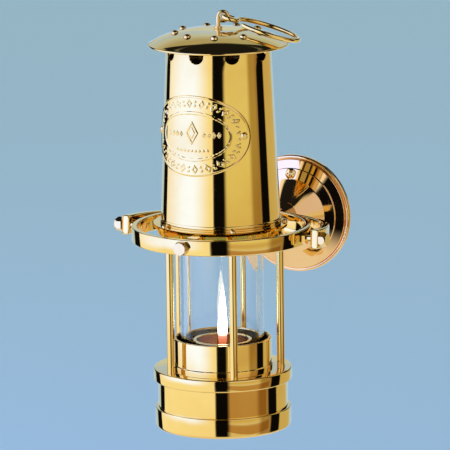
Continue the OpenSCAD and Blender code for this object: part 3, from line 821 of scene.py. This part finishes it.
def add_badge(materials):
    """Oval name plate bent round the bonnet."""
    low, high = span("badge", 2)
    centre = (low + high) / 2
    reach = BONNET_FOOT.x - BONNET_TAPER * (centre - BONNET_FOOT.z)
    mm_per_degree = (reach / MM + BADGE_THICK) * math.radians(1)
    lengths = midline_lengths(mm_per_degree)
    around, rings = 660, 96
    half_angle = BADGE_HALF[0]
    points, faces = [], []

    def spot(x, z, lift):
        height = centre + z * MM
        r = BONNET_FOOT.x - BONNET_TAPER * (height - BONNET_FOOT.z) + lift * MM
        return AXIS_XY + r * towards(x + BADGE_TURN, 0) + Vector((0, 0, height))

    outline = []
    for k in range(around):
        t = TAU * k / around
        outline.append((half_angle * math.sin(t), BADGE_HALF[1] * math.cos(t)))
    points.append(spot(0, 0, BADGE_THICK + badge_relief(0, 0, mm_per_degree, lengths)))
    edge = [(1.0, 0.30), (0.9985, 0.62), (0.994, 0.82), (0.988, 0.90)]
    scales = [0.988 * i / rings for i in range(1, rings)]
    for s in scales:
        for x, z in outline:
            lift = BADGE_THICK + badge_relief(x * s, z * s, mm_per_degree, lengths)
            points.append(spot(x * s, z * s, lift))
    for s, share in edge[::-1]:
        points += [spot(x * s, z * s, BADGE_THICK * share / 0.90) for x, z in outline]
    points += [spot(x, z, 0.04) for x, z in outline]
    points += [spot(x * 0.5, z * 0.5, 0.04) for x, z in outline]
    points.append(spot(0, 0, 0.04))
    total = len(scales) + len(edge) + 2
    for k in range(around):
        j = (k + 1) % around
        faces.append([0, 1 + j, 1 + k])
        for ring in range(total - 1):
            a, b = 1 + ring * around, 1 + (ring + 1) * around
            faces.append([a + k, a + j, b + j, b + k])
        last = 1 + (total - 1) * around
        faces.append([last + k, last + j, len(points) - 1])
    add_piece("badge_plate", (points, faces), "lamp", materials["polished_brass"], "badge")


FLAME_SHAPE = [(0, -1.2), (1.6, -1.0), (2.45, 0.8), (2.8, 4.0), (2.95, 8.4), (2.9, 13.0), (2.6, 19.0),
               (2.1, 25.0), (1.5, 30.5), (0.8, 35.0), (0.35, 38.0), (0, 39.8)]
FLAME_LEAN = 0.012


def smooth_profile(knots, per=6):
    """Catmull-Rom curve through (radius, height) knots."""
    out = []
    for i in range(len(knots) - 1):
        p = [Vector(knots[max(0, min(len(knots) - 1, i + k))]) for k in (-1, 0, 1, 2)]
        for step_index in range(per):
            t = step_index / per
            q = 0.5 * (2 * p[1] + (p[2] - p[0]) * t + (2 * p[0] - 5 * p[1] + 4 * p[2] - p[3]) * t * t
                       + (3 * p[1] - p[0] - 3 * p[2] + p[3]) * t ** 3)
            out.append((max(0.0, q.x), q.y))
    return out + [knots[-1]]


def add_flame(materials):
    """Wick's flame: a narrow teardrop, orange at its foot and white above."""
    top = span("wick", 2)[1]
    centre = middle("wick")
    profile = [(r * MM, z * MM) for r, z in smooth_profile(FLAME_SHAPE)]
    profile[0], profile[-1] = (0, profile[0][1]), (0, profile[-1][1])
    points, faces = put(lathe(profile, 64), Vector((centre.x, centre.y, top)))
    points = [p + FLAME_LEAN * (p.z - top + 5 * MM) * Vector((1, 0, 0)) for p in points]
    add_piece("flame", (points, faces), "wick", materials["flame"])


def add_wick(materials):
    """Braided cotton wick, with its plaits standing proud and its top burnt away a little."""
    low, high = span("wick", 2)
    centre = middle("wick")
    r = radius("wick")
    steps, rows = 96, 160
    points, faces = [], []
    for i in range(rows + 1):
        z = low + (high - low) * i / rows
        end = 1 - 0.35 * max(0.0, (z - high) / (2 * MM) + 1) ** 2
        for k in range(steps):
            a = TAU * k / steps
            braid = abs(math.sin(6 * a + (z - low) / (0.9 * MM)) * math.sin(6 * a - (z - low) / (0.9 * MM)))
            reach = (r - 0.25 * MM + 0.22 * MM * braid) * end
            points.append(Vector((centre.x + reach * math.cos(a), centre.y + reach * math.sin(a), z)))
    for i in range(rows):
        for k in range(steps):
            j = (k + 1) % steps
            a, b = i * steps, (i + 1) * steps
            faces.append([a + k, a + j, b + j, b + k])
    faces.append(list(range(steps))[::-1])
    faces.append(list(range(rows * steps, (rows + 1) * steps)))
    add_piece("braided_wick", (points, faces), "wick", materials["wick_cotton"], "wick")


def main():
    add_camera()
    add_world()
    add_card("key_panel", KEY_BEARING, KEY_WIDTH, key_glow)
    add_card("side_panel", SIDE_BEARING, SIDE_WIDTH, side_glow)
    add_card("fill_panel", FILL_BEARING, FILL_WIDTH, fill_glow)
    add_floor()
    materials = make_materials()
    paint_nodes(materials)
    add_lid(materials)
    add_turned(materials)
    add_burner(materials)
    add_gimbal(materials)
    add_rose(materials)
    add_badge(materials)
    add_wick(materials)
    add_flame(materials)


bpy.context.scene.view_settings.view_transform = "Standard"
main()
